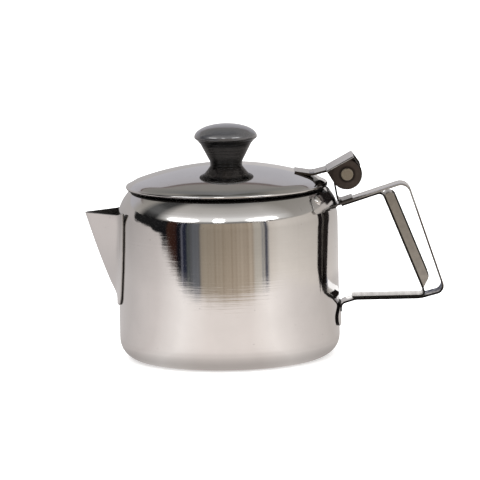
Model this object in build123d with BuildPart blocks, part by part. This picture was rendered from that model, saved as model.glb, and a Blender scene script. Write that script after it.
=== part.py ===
"""Small stainless steel teapot with a hinged lid, in millimetres.

The pot is one drawn steel shell that stands on the XY plane, with its axis on Z. The welded spout
points along -X and the strip handle along +X. The lid turns about a riveted pin that runs along Y,
just behind the rim. Everything is symmetric about the XZ plane.
"""
from build123d import *

import os
from math import asin, atan2, cos, degrees, hypot, isclose, radians, sin, sqrt

os.makedirs("parts", exist_ok=True)

# Pot shell
body_radius = 50.2
shell_sheet = 0.7
base_corner_radius = 9.5
shoulder_height = 62.5
shoulder_radius = 20.0
mouth_height = 78.0
mouth_bead_radius = 0.9
mouth_bead_inset = 0.6
mouth_bead_drop = 0.4

# Strainer holes in the wall behind the spout, one number of holes for each row
strainer_hole_radius = 1.6
strainer_pitch = 5.0
strainer_first_row = 38.0
strainer_rows = [1, 2, 3, 4, 3]

# Spout: a folded half cone that ends level, with a flange against the pot
spout_sheet = 0.8
spout_mouth_height = 67.3
spout_back_reach = 44.0
flange_sheet = 0.9
flange_bottom_radius = 4.5
flange_top_radius = 1.0

# The spout flange's side, from its top to its bottom: half width and height
flange_side = [(19.8, 68.6), (18.2, 52.0), (16.9, 43.0), (15.0, 33.5), (10.6, 25.5)]

# How far above the pot the welded sheets lie
weld_gap = 0.02

# How far above the pot the spout's and strap's walls end inside the sheet that hugs it
band_overlap = 0.4

# How far cutting shapes run past what they cut
cut_margin = 1.0

# Handle strap: one outer strip, bent round from the shoulder to the foot pad
strap_sheet = 0.9
strap_width = 12.5
upper_arm_start = (44.0, 67.5)
strap_upper_corner = (82.15, 79.29)
strap_lower_corner = (98.8, 28.1)
strap_rise_start = (87.0, 25.1)
strap_dip_start = (57.5, 25.1)
strap_foot_bend_height = 23.3
strap_end_height = 20.5
strap_bend_radii = [5.0, 3.8, 14.0, 8.0, 2.2]
pad_gap = 0.15
pad_bottom = 14.0
pad_top = 24.0
pad_shoulder_height = 20.0
pad_half_width = 13.0
pad_bottom_radius = 4.0
pad_shoulder_radius = 2.0
ear_bottom = 68.2
ear_top = 75.6
ear_half_width_bottom = 32.0
ear_half_width_top = 27.8
ear_corner_radius = 2.2

# Handle grip: the inner channel under the strap
grip_sheet = 0.8
grip_width = 12.2
grip_start_x = 52.0
grip_lower_corner = (88.9, 26.9)
grip_foot_end_x = 56.0
grip_upper_corner_x = 70.3
grip_bend_radii = [2.2, 1.2]
grip_flange_depth = 5.4
grip_flange_top_radius = 3.0
grip_flange_foot_radius = 4.0

# The grip's side flanges: distance along its web from the upper corner, or back from the lower one
flange_start = 1.6
flange_top_rise = 0.4
flange_foot_start = 7.0
flange_foot_end = 2.8
channel_start = 3.2
channel_end = 1.8

# Ear rivets
rivet_azimuth = 31.3
rivet_height = 73.1
rivet_shank_radius = 1.3
rivet_head_radius = 2.4
rivet_head_height = 1.0
rivet_tail_radius = 2.1
rivet_tail_height = 0.6
rivet_head_bite = 0.06

# Lid hinge
pin_x = 54.5
pin_z = 83.5
pin_radius = 1.6
pin_clearance = 0.05
pin_head_radius = 2.8
pin_head_height = 0.8
pin_head_edge_radius = 0.45
hood_half_width = 12.0
tab_half_width = 8.0
hood_sheet = 1.0
bracket_sheet = 0.8
bracket_width = 14.0
bracket_foot_end_x = 57.1
bracket_bend_x = 50.1
bracket_riser_top = (48.4, 79.5)
bracket_bend_radii = [2.2, 4.0]

# Hinge hood from the side, in X and Z
tab_tip = (31.0, 84.95)
tab_bend = (38.7, 83.65)
hood_fold = (45.2, 85.2)
hood_rear = (57.1, 91.6)
hood_bend_radii = [6.0, 2.0]
cheek_center = (54.3, 83.6)
cheek_radius = 7.0
cheek_arc_start = 25
cheek_arc_size = -171
between_cheeks = [(41.2, 81.2), (46.1, 84.6), (58.0, 90.95), (71.1, 83.6), (71.1, 71.2), (41.2, 71.2)]

# Lid
lid_sheet = 0.7
lid_apex = 88.4
lid_dome_radius = 124.0
lid_dome_reach = 41.0
lid_rim_top = (44.8, 79.1)
lid_bead_center = (45.0, 78.4)
lid_bead_radius = 0.9
lid_ring_radius = 40.6
lid_ring_sheet = 0.7
lid_ring_bottom = 75.2

# Knob and its fastening
knob_top = 106.5
knob_radius = 14.3
knob_widest_height = 100.6
knob_rim_middle = (14.05, 99.6)
knob_rim_end = (13.3, 98.8)
knob_neck = [(11.9, 97.5), (11.6, 97.1), (7.3, 89.3), (7.0, 88.6), (7.0, 86.0)]
knob_bore_radius = 3.5
knob_bore_top = 97.0
screw_radius = 2.0
screw_top = 95.0
screw_head_radius = 3.8
screw_head_height = 2.4
screw_head_edge_radius = 1.2
screw_slot_width = 0.9
screw_slot_depth = 1.1
screw_hole_clearance = 0.25
washer_clearance = 0.1
washer_radius = 5.0
washer_thickness = 0.8


def pot_solid(grow):
    """The pot's outer shape as a full solid, grown evenly outwards by grow."""
    corner_x = body_radius - base_corner_radius
    shoulder_x = body_radius - shoulder_radius
    sweep_angle = degrees(asin((mouth_height - shoulder_height) / shoulder_radius))
    with BuildPart() as solid:
        with BuildSketch(Plane.XZ):
            with BuildLine():
                base = Line((0, -grow), (corner_x, -grow))
                corner = CenterArc((corner_x, base_corner_radius), base_corner_radius + grow, -90, 90)
                Line(corner @ 1, (body_radius + grow, shoulder_height))
                shoulder = CenterArc((shoulder_x, shoulder_height), shoulder_radius + grow, 0, sweep_angle)
                mouth = Line(shoulder @ 1, (0, (shoulder @ 1).Y))
                Line(mouth @ 1, base @ 0)
            make_face()
        revolve(axis=Axis.Z)
    return solid.part


def pot_band(sheet, outline, toward):
    """A sheet that hugs the pot's outside, cut to an outline drawn in Y and Z.

    toward is -1 for the spout's side and +1 for the handle's side.
    """
    reach = 2 * body_radius
    with BuildPart() as band:
        add(pot_solid(sheet))
        add(pot_solid(weld_gap), mode=Mode.SUBTRACT)
        extrude(outline, amount=reach, dir=(toward, 0, 0), mode=Mode.INTERSECT)
    return band.part


def dome_arc(inset):
    """The main arc of the lid's dome in X and Z, moved inwards by inset."""
    arc_angle = degrees(asin(lid_dome_reach / lid_dome_radius))
    return CenterArc((0, lid_apex - lid_dome_radius), lid_dome_radius - inset, 90, -arc_angle)


def dome_solid(inset):
    """The room below the lid's dome as a full solid, moved inwards by inset."""
    with BuildPart() as solid:
        with BuildSketch(Plane.XZ):
            with BuildLine():
                main = dome_arc(inset)
                end = (lid_rim_top[0] - inset, lid_rim_top[1] - inset)
                rim = TangentArc(main @ 1, end, tangent=main % 1)
                floor = lid_ring_bottom - cut_margin
                Polyline(rim @ 1, (end[0], floor), (0, floor), main @ 0)
            make_face()
        revolve(axis=Axis.Z)
    return solid.part


dome_outside = dome_solid(0)
dome_inside = dome_solid(lid_sheet)

# Ear rivets: a domed head outside and an upset tail inside the shoulder
ear_sheet = strap_sheet
shoulder_x = body_radius - shoulder_radius
rivet_slope = asin((rivet_height - shoulder_height) / shoulder_radius)
rivet_grip = ear_sheet + shell_sheet
seat_reach = shoulder_x + (shoulder_radius + ear_sheet) * cos(rivet_slope)
seat_height = shoulder_height + (shoulder_radius + ear_sheet) * sin(rivet_slope)
with BuildPart() as ear_rivets:
    for side in (-1, 1):
        azimuth = radians(side * rivet_azimuth)
        normal = (cos(rivet_slope) * cos(azimuth), cos(rivet_slope) * sin(azimuth), sin(rivet_slope))
        seat = Plane(
            origin=(seat_reach * cos(azimuth), seat_reach * sin(azimuth), seat_height),
            z_dir=normal,
        )
        with BuildSketch(seat.offset(-rivet_grip)):
            Circle(rivet_shank_radius)
        extrude(amount=rivet_grip)
        with BuildSketch(seat.offset(-rivet_head_bite)):
            Circle(rivet_head_radius)
        extrude(amount=rivet_head_height)
        with BuildSketch(seat.offset(rivet_head_bite - rivet_grip)):
            Circle(rivet_tail_radius)
        extrude(amount=-rivet_tail_height)
    head_rims = ear_rivets.edges().filter_by(GeomType.CIRCLE)
    fillet(head_rims.sort_by_distance((0, 0, shoulder_height))[-2:], radius=0.8 * rivet_head_height)
ear_rivets.part.label = "ear_rivets"

# Pot shell: drawn cup with a turned-in mouth and the strainer holes
pot_core = pot_solid(0)
pot_trim = pot_solid(band_overlap)
with BuildPart() as pot_shell:
    add(pot_core)
    offset(amount=-shell_sheet, openings=pot_shell.faces().sort_by(Axis.Z)[-1])
    mouth_x = shoulder_x + sqrt(shoulder_radius**2 - (mouth_height - shoulder_height) ** 2)
    with BuildSketch(Plane.XZ):
        with Locations((mouth_x - mouth_bead_inset, mouth_height - mouth_bead_drop)):
            Circle(mouth_bead_radius)
    revolve(axis=Axis.Z)
    with BuildSketch(Plane.YZ.offset(-body_radius - cut_margin)):
        for row, count in enumerate(strainer_rows):
            row_height = strainer_first_row + row * strainer_pitch
            with Locations((0, row_height)):
                with GridLocations(strainer_pitch, strainer_pitch, count, 1):
                    Circle(strainer_hole_radius)
    extrude(amount=body_radius / 4, mode=Mode.SUBTRACT)
    add(ear_rivets.part, mode=Mode.SUBTRACT)
pot_shell.part.label = "pot_shell"

# Spout: levels of a rounded V, hollowed, with a flange that hugs the pot. Each level is its height,
# the keel's reach from the pot's axis, half width per length back from the keel, and keel radius.
spout_levels = [
    (28.0, 50.5, 3.0, 3.0),
    (36.5, 54.3, 1.9, 3.0),
    (51.5, 59.7, 1.1, 3.0),
    (spout_mouth_height, 64.7, 0.85, 3.5),
]


def spout_level(height, reach, spread, keel_radius, inset):
    """One horizontal section of the spout, inset evenly by inset.

    The rounded keel reaches out to reach, so the sharp corner that it rounds lies further out.
    """
    sharp_reach = reach + keel_radius * (hypot(1, 1 / spread) - 1)
    half_width = (sharp_reach - spout_back_reach) * spread
    with BuildSketch(Plane.XY.offset(height)) as level:
        with BuildLine():
            Polyline(
                (-spout_back_reach, -half_width),
                (-sharp_reach, 0),
                (-spout_back_reach, half_width),
                close=True,
            )
        make_face()
        if inset:
            offset(amount=-inset, kind=Kind.INTERSECTION)
        fillet(level.vertices().sort_by(Axis.X)[0], radius=keel_radius - inset)
    return level.sketch


with BuildSketch(Plane.YZ) as flange_outline:
    with BuildLine():
        side_line = Polyline(*flange_side)
        Polyline(side_line @ 0, (0, flange_side[0][1]), (0, flange_side[-1][1]), side_line @ 1)
    make_face()
    mirror(about=Plane.YZ)
    fillet(flange_outline.vertices().group_by(Axis.Y)[0], radius=flange_bottom_radius)
    fillet(flange_outline.vertices().group_by(Axis.Y)[-1], radius=flange_top_radius)

outer_levels = [spout_level(*level, inset=0) for level in spout_levels]
inner_levels = [spout_level(*level, inset=spout_sheet) for level in spout_levels]
spout_flange = pot_band(flange_sheet, flange_outline.sketch, -1)
with BuildPart() as spout:
    add(outer_levels)
    loft(ruled=True)
    add(pot_trim, mode=Mode.SUBTRACT)
    add(spout_flange)
    add(inner_levels)
    loft(ruled=True, mode=Mode.SUBTRACT)
spout.part.label = "spout"

# Handle strap: upper ear, arm, grip, lower arm and foot pad in one strip
pad_face = body_radius + strap_sheet + pad_gap
with BuildSketch(Plane.YZ) as ear_outline:
    with BuildLine():
        Polyline(
            (-ear_half_width_bottom, ear_bottom),
            (ear_half_width_bottom, ear_bottom),
            (ear_half_width_top, ear_top),
            (-ear_half_width_top, ear_top),
            close=True,
        )
    make_face()
    fillet(ear_outline.vertices(), radius=ear_corner_radius)
with BuildSketch(Plane.YZ) as pad_outline:
    with BuildLine():
        Polyline(
            (-strap_width / 2, pad_top),
            (-pad_half_width, pad_shoulder_height),
            (-pad_half_width, pad_bottom),
            (pad_half_width, pad_bottom),
            (pad_half_width, pad_shoulder_height),
            (strap_width / 2, pad_top),
            close=True,
        )
    make_face()
    fillet(pad_outline.vertices().group_by(Axis.Y)[0], radius=pad_bottom_radius)
    fillet(pad_outline.vertices().group_by(Axis.Y)[1], radius=pad_shoulder_radius)

ear_band = pot_band(ear_sheet, ear_outline.sketch, 1)
pad_band = pot_band(strap_sheet, pad_outline.sketch, 1)
with BuildPart() as handle_strap:
    with BuildSketch(Plane.XZ):
        with BuildLine():
            FilletPolyline(
                upper_arm_start,
                strap_upper_corner,
                strap_lower_corner,
                strap_rise_start,
                strap_dip_start,
                (pad_face, strap_foot_bend_height),
                (pad_face, strap_end_height),
                radius=strap_bend_radii,
            )
            offset(amount=strap_sheet, side=Side.RIGHT)
        make_face()
    extrude(amount=strap_width / 2, both=True)
    add(pot_trim, mode=Mode.SUBTRACT)
    add(ear_band)
    add(pad_band)
    add(ear_rivets.part, mode=Mode.SUBTRACT)
handle_strap.part.label = "handle_strap"

# Handle grip: a leg under the upper arm, a channel for the fingers and a foot on the lower arm
arm_run = strap_upper_corner[0] - upper_arm_start[0]
arm_rise = strap_upper_corner[1] - upper_arm_start[1]
arm_length = hypot(arm_run, arm_rise)
layers_drop = (strap_sheet + grip_sheet) * arm_length / arm_run


def arm_top(x):
    """Height of the upper arm's top face."""
    return upper_arm_start[1] + (x - upper_arm_start[0]) * arm_rise / arm_run


grip_start = (grip_start_x, arm_top(grip_start_x) - layers_drop)
grip_upper_corner = (grip_upper_corner_x, arm_top(grip_upper_corner_x) - layers_drop)
web_run = grip_lower_corner[0] - grip_upper_corner[0]
web_drop = grip_upper_corner[1] - grip_lower_corner[1]
web_length = hypot(web_run, web_drop)


def web_point(along, out):
    """A point beside the grip's finger face: along it from the upper corner, and out towards +X."""
    return (
        grip_upper_corner[0] + (along * web_run + out * web_drop) / web_length,
        grip_upper_corner[1] + (out * web_run - along * web_drop) / web_length,
    )


with BuildPart() as handle_grip:
    with BuildSketch(Plane.XZ):
        with BuildLine():
            FilletPolyline(
                grip_start,
                grip_upper_corner,
                grip_lower_corner,
                (grip_foot_end_x, grip_lower_corner[1]),
                radius=grip_bend_radii,
            )
            offset(amount=grip_sheet, side=Side.LEFT)
        make_face()
    extrude(amount=grip_width / 2, both=True)
    with BuildSketch(Plane.XZ) as flange:
        with BuildLine():
            Polyline(
                web_point(flange_start, grip_sheet / 4),
                web_point(-flange_top_rise, grip_flange_depth),
                web_point(web_length - flange_foot_start, grip_flange_depth),
                web_point(web_length - flange_foot_end, grip_sheet / 2),
                close=True,
            )
        make_face()
        fillet(flange.vertices().sort_by(Axis.Y)[-1], radius=grip_flange_top_radius)
        fillet(flange.vertices().sort_by(Axis.X)[-1], radius=grip_flange_foot_radius)
    extrude(amount=grip_width / 2, both=True)
    with BuildSketch(Plane.XZ):
        with BuildLine():
            Polyline(
                web_point(channel_start, grip_sheet),
                web_point(-channel_start, 3 * grip_flange_depth),
                web_point(web_length, 3 * grip_flange_depth),
                web_point(web_length - channel_end, grip_sheet),
                close=True,
            )
        make_face()
    extrude(amount=grip_width / 2 - grip_sheet, both=True, mode=Mode.SUBTRACT)
    add(handle_strap.part, mode=Mode.SUBTRACT)
handle_grip.part.label = "handle_grip"

# Hinge bracket: a foot on the upper arm, a riser, and a knuckle curled round the pin
knuckle_radius = pin_radius + pin_clearance + bracket_sheet
to_pin_x = pin_x - bracket_riser_top[0]
to_pin_z = pin_z - bracket_riser_top[1]
tangent_bearing = atan2(to_pin_z, to_pin_x) + asin(knuckle_radius / hypot(to_pin_x, to_pin_z))
knuckle_tangent = (
    pin_x - knuckle_radius * sin(tangent_bearing),
    pin_z + knuckle_radius * cos(tangent_bearing),
)
with BuildPart() as hinge_bracket:
    with BuildSketch(Plane.XZ):
        with BuildLine():
            FilletPolyline(
                (bracket_foot_end_x, arm_top(bracket_foot_end_x)),
                (bracket_bend_x, arm_top(bracket_bend_x)),
                bracket_riser_top,
                knuckle_tangent,
                radius=bracket_bend_radii,
            )
            offset(amount=bracket_sheet, side=Side.RIGHT)
        make_face()
        with Locations((pin_x, pin_z)):
            Circle(knuckle_radius)
            Circle(pin_radius + pin_clearance, mode=Mode.SUBTRACT)
    extrude(amount=bracket_width / 2, both=True)
    add(handle_strap.part, mode=Mode.SUBTRACT)
    add(pot_core, mode=Mode.SUBTRACT)
hinge_bracket.part.label = "hinge_bracket"

# Lid: a dome with a curled rim and a hole for the knob's screw
with BuildPart() as lid_shell:
    with BuildSketch(Plane.XZ):
        with BuildLine():
            dome_line = dome_arc(0)
            TangentArc(dome_line @ 1, lid_rim_top, tangent=dome_line % 1)
            offset(amount=lid_sheet, side=Side.RIGHT)
        make_face()
    revolve(axis=Axis.Z)
    with BuildSketch(Plane.XZ):
        with Locations(lid_bead_center):
            Circle(lid_bead_radius)
    revolve(axis=Axis.Z)
    with BuildSketch(Plane.XY.offset(lid_apex + cut_margin)):
        Circle(screw_radius + screw_hole_clearance)
    extrude(amount=-2 * lid_sheet - cut_margin, mode=Mode.SUBTRACT)
lid_shell.part.label = "lid_shell"

# Lid ring: the short skirt that keeps the closed lid over the mouth
with BuildPart() as lid_ring:
    with BuildSketch(Plane.XY.offset(lid_ring_bottom)):
        Circle(lid_ring_radius)
        Circle(lid_ring_radius - lid_ring_sheet, mode=Mode.SUBTRACT)
    extrude(amount=lid_apex - lid_ring_bottom)
    add(dome_inside, mode=Mode.INTERSECT)
lid_ring.part.label = "lid_ring"

# Hinge hood: a tab welded on the dome, a raised thumb plate and two cheeks for the pin
hood_length = hypot(hood_rear[0] - hood_fold[0], hood_rear[1] - hood_fold[1])
with BuildPart() as hinge_hood:
    with BuildSketch(Plane.XZ):
        with BuildLine():
            FilletPolyline(tab_tip, tab_bend, hood_fold, hood_rear, radius=hood_bend_radii)
            offset(amount=hood_sheet, side=Side.RIGHT)
        make_face()
    extrude(amount=tab_half_width, both=True)
    with BuildSketch(Plane.XZ):
        with BuildLine():
            Line(hood_fold, hood_rear)
            offset(amount=hood_sheet, side=Side.RIGHT)
        make_face()
    extrude(amount=hood_half_width, both=True)
    with BuildSketch(Plane.XZ):
        with BuildLine():
            nose = CenterArc(cheek_center, cheek_radius, cheek_arc_start, cheek_arc_size)
            Line(hood_rear, nose @ 0)
            Line(nose @ 1, hood_fold)
            Line(hood_fold, hood_rear)
        make_face()
        with Locations((pin_x, pin_z)):
            Circle(pin_radius, mode=Mode.SUBTRACT)
    extrude(amount=hood_half_width, both=True)
    with BuildSketch(Plane.XZ):
        with BuildLine():
            Polyline(*between_cheeks, close=True)
        make_face()
    extrude(amount=hood_half_width - hood_sheet, both=True, mode=Mode.SUBTRACT)
    add(dome_outside, mode=Mode.SUBTRACT)
    outer_edges = hinge_hood.edges().filter_by(GeomType.LINE).filter_by(
        lambda edge: isclose(abs(edge.center().Y), hood_half_width, abs_tol=weld_gap)
    )
    top_folds = outer_edges.filter_by(
        lambda edge: edge.length > 0.8 * hood_length and edge.center().Z > cheek_center[1]
    )
    fillet(top_folds, radius=0.8 * hood_sheet)
hinge_hood.part.label = "hinge_hood"

# Hinge pin: a rivet peened over both cheeks
with BuildPart() as hinge_pin:
    with BuildSketch(Plane.XZ):
        with Locations((pin_x, pin_z)):
            Circle(pin_radius)
    extrude(amount=hood_half_width, both=True)
    for side in (-1, 1):
        with BuildSketch(Plane.XZ.offset(side * hood_half_width)):
            with Locations((pin_x, pin_z)):
                Circle(pin_head_radius)
        extrude(amount=side * pin_head_height)
    head_faces = hinge_pin.faces().sort_by(Axis.Y)
    fillet([head_faces[0].edges()[0], head_faces[-1].edges()[0]], radius=pin_head_edge_radius)
hinge_pin.part.label = "hinge_pin"

# Knob: a domed cap on a cone, moulded round a threaded insert
with BuildPart() as knob:
    with BuildSketch(Plane.XZ):
        with BuildLine():
            crown = Spline(
                (knob_radius, knob_widest_height),
                (knob_radius * sqrt(0.5), knob_widest_height + (knob_top - knob_widest_height) * sqrt(0.5)),
                (0, knob_top),
                tangents=[(0, 1), (-1, 0)],
            )
            rim = ThreePointArc(crown @ 0, knob_rim_middle, knob_rim_end)
            neck = Polyline(rim @ 1, *knob_neck)
            Polyline(neck @ 1, (0, (neck @ 1).Y), crown @ 1)
        make_face()
    revolve(axis=Axis.Z)
    add(dome_outside, mode=Mode.SUBTRACT)
    with BuildSketch(Plane.XY.offset(lid_apex - cut_margin)):
        Circle(knob_bore_radius)
    extrude(amount=knob_bore_top - lid_apex + cut_margin, mode=Mode.SUBTRACT)
knob.part.label = "knob"

# Knob insert: the threaded sleeve
with BuildPart() as knob_insert:
    with BuildSketch(Plane.XY.offset(lid_apex - cut_margin)):
        Circle(knob_bore_radius)
        Circle(screw_radius, mode=Mode.SUBTRACT)
    extrude(amount=knob_bore_top - lid_apex + cut_margin)
    add(dome_outside, mode=Mode.SUBTRACT)
knob_insert.part.label = "knob_insert"

# Washer and screw under the dome
dome_underside = lid_apex - lid_dome_radius + sqrt((lid_dome_radius - lid_sheet) ** 2 - washer_radius**2)
washer_bottom = dome_underside - washer_thickness
with BuildPart() as knob_washer:
    with BuildSketch(Plane.XY.offset(washer_bottom)):
        Circle(washer_radius)
        Circle(screw_radius + washer_clearance, mode=Mode.SUBTRACT)
    extrude(amount=washer_thickness)
knob_washer.part.label = "knob_washer"

with BuildPart() as knob_screw:
    with BuildSketch(Plane.XY.offset(washer_bottom - screw_head_height)):
        Circle(screw_head_radius)
    extrude(amount=screw_head_height)
    fillet(knob_screw.edges().sort_by(Axis.Z)[0], radius=screw_head_edge_radius)
    with BuildSketch(Plane.XY.offset(washer_bottom)):
        Circle(screw_radius)
    extrude(amount=screw_top - washer_bottom)
    with BuildSketch(Plane.XY.offset(washer_bottom - screw_head_height)):
        Rectangle(2 * screw_head_radius, screw_slot_width)
    extrude(amount=screw_slot_depth, mode=Mode.SUBTRACT)
knob_screw.part.label = "knob_screw"

pieces = [
    pot_shell, spout, handle_strap, handle_grip, ear_rivets, hinge_bracket,
    lid_shell, lid_ring, hinge_hood, hinge_pin, knob, knob_insert, knob_washer, knob_screw,
]
for piece in pieces:
    export_step(piece.part, f"parts/{piece.part.label}.step")
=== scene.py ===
"""Small stainless steel teapot with a hinged lid: the looks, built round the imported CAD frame.

Metres, in the CAD's own frame. Lengths in the tables below are millimetres and are scaled by MM.
"""
import math

import bmesh
import bpy
import numpy as np
from mathutils import Matrix, Vector


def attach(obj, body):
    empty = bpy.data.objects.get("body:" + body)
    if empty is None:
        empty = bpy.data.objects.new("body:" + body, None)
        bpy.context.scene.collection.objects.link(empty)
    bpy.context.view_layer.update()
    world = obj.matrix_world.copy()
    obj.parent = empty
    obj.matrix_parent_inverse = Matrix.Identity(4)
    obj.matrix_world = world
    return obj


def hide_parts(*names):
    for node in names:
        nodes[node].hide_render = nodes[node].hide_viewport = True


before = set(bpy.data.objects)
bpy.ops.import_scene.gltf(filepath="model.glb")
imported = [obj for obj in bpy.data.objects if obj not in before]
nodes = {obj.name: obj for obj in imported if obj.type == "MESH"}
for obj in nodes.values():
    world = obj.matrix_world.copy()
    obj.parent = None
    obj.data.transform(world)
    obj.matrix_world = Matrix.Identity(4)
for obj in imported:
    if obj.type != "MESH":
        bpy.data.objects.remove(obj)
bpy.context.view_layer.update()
scene = bpy.context.scene
MM = 0.001

# Pot, from the CAD's dimensions
BODY_R = 50.2
SHELL = 0.7
BASE_R = 9.5
SHOULDER_Z = 62.5
SHOULDER_R = 20.0
MOUTH_Z = 78.0
BEAD_R = 0.9
HOLE_R = 1.6
HOLE_PITCH = 5.0
HOLE_FIRST_Z = 38.0
HOLE_ROWS = (1, 2, 3, 4, 3)

# Lid
LID_APEX = 88.4
DOME_R = 124.0
DOME_REACH = 41.0
RIM_TOP = (44.8, 79.1)
RIM_BEAD = (45.0, 78.4)
SCREW_HOLE_R = 2.25

# Spout: height, keel reach, half width per length, keel radius
SPOUT_LEVELS = (
    (25.5, 49.6, 3.2, 3.0),
    (28.0, 50.5, 3.0, 3.0),
    (36.5, 54.3, 1.9, 3.0),
    (51.5, 59.7, 1.1, 3.0),
    (67.3, 64.7, 0.85, 3.5),
)
SPOUT_SHEET = 0.8
FLANGE_FACE = 0.9
FLANGE_TIP = 1.3
FLANGE_RISE_FROM = 62.0
FLANGE_RISE_OVER = 5.3
FLANGE_EDGE = (
    (25.5, 7.6), (25.9, 10.2), (27.0, 12.3), (29.0, 13.7),
    (33.5, 15.0), (43.0, 16.9), (52.0, 18.2), (68.6, 19.8),
)
SPOUT_BOTTOM = SPOUT_LEVELS[0][0]
SPOUT_EVEN = 30.0
SPOUT_TOP = SPOUT_LEVELS[-1][0]

# Hinge pin
PIN_X = 54.5
PIN_Z = 83.5

LATHE_STEPS = 256
BEVEL_SEGMENTS = 2
BEVEL_ANGLE = 35


# ---------------------------------------------------------------- mesh helpers

def arc(center, radius, start, end, steps):
    """Points of an arc in the (r, z) plane, angles in degrees."""
    angles = np.radians(np.linspace(start, end, steps + 1))
    return [(center[0] + radius * math.cos(a), center[1] + radius * math.sin(a)) for a in angles]


def line(start, end, steps):
    """Evenly spaced points from start to end, both included."""
    return [
        (start[0] + (end[0] - start[0]) * i / steps, start[1] + (end[1] - start[1]) * i / steps)
        for i in range(steps + 1)
    ]


def joined(*runs):
    """One list of points from several runs, without the points they share."""
    points = []
    for run in runs:
        for point in run:
            if not points or math.dist(points[-1], point) > 1e-4:
                points.append(point)
    return points


def finish_mesh(name, mesh, sharp_degrees=40):
    """An object of a mesh, smooth except across its sharp edges."""
    mesh.validate()
    for polygon in mesh.polygons:
        polygon.use_smooth = True
    mesh.set_sharp_from_angle(angle=math.radians(sharp_degrees))
    obj = bpy.data.objects.new(name, mesh)
    scene.collection.objects.link(obj)
    return obj


def lathe(name, profile, closed, steps=LATHE_STEPS):
    """A surface of revolution about Z. A profile point on the axis becomes one shared vertex."""
    bm = bmesh.new()
    rings = []
    for r, z in profile:
        if r < 1e-6:
            rings.append([bm.verts.new((0, 0, z * MM))])
            continue
        rings.append([
            bm.verts.new((r * MM * math.cos(turn), r * MM * math.sin(turn), z * MM))
            for turn in (2 * math.pi * i / steps for i in range(steps))
        ])
    pairs = list(zip(rings, rings[1:]))
    if closed:
        pairs.append((rings[-1], rings[0]))
    for low, high in pairs:
        for i in range(steps):
            j = (i + 1) % steps
            corners = [low[i % len(low)], low[j % len(low)], high[j % len(high)], high[i % len(high)]]
            face = [v for k, v in enumerate(corners) if v not in corners[:k]]
            if len(face) > 2:
                bm.faces.new(face)
    bmesh.ops.recalc_face_normals(bm, faces=bm.faces)
    mesh = bpy.data.meshes.new(name)
    bm.to_mesh(mesh)
    bm.free()
    return finish_mesh(name, mesh)


def grid(name, rows, wrap=False):
    """A quad sheet through rows of points in millimetres."""
    bm = bmesh.new()
    verts = [[bm.verts.new([c * MM for c in point]) for point in row] for row in rows]
    columns = len(rows[0])
    for low, high in zip(verts, verts[1:]):
        for i in range(columns if wrap else columns - 1):
            j = (i + 1) % columns
            bm.faces.new((low[i], low[j], high[j], high[i]))
    bmesh.ops.recalc_face_normals(bm, faces=bm.faces)
    mesh = bpy.data.meshes.new(name)
    bm.to_mesh(mesh)
    bm.free()
    return finish_mesh(name, mesh)


def apply_modifiers(obj):
    """Turns the object's modifiers into its mesh."""
    graph = bpy.context.evaluated_depsgraph_get()
    mesh = bpy.data.meshes.new_from_object(obj.evaluated_get(graph))
    obj.modifiers.clear()
    obj.data = mesh


def place(obj, body, slot, materials, *replaced):
    """Gives a piece its materials and its body, and hides the CAD nodes it stands for."""
    kept = [polygon.material_index for polygon in obj.data.polygons]
    obj.data.materials.clear()
    for material in materials if isinstance(materials, tuple) else (materials,):
        obj.data.materials.append(material)
    obj.data.polygons.foreach_set("material_index", kept)
    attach(obj, body)
    if replaced:
        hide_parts(*replaced)


# ---------------------------------------------------------------- node helpers

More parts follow.
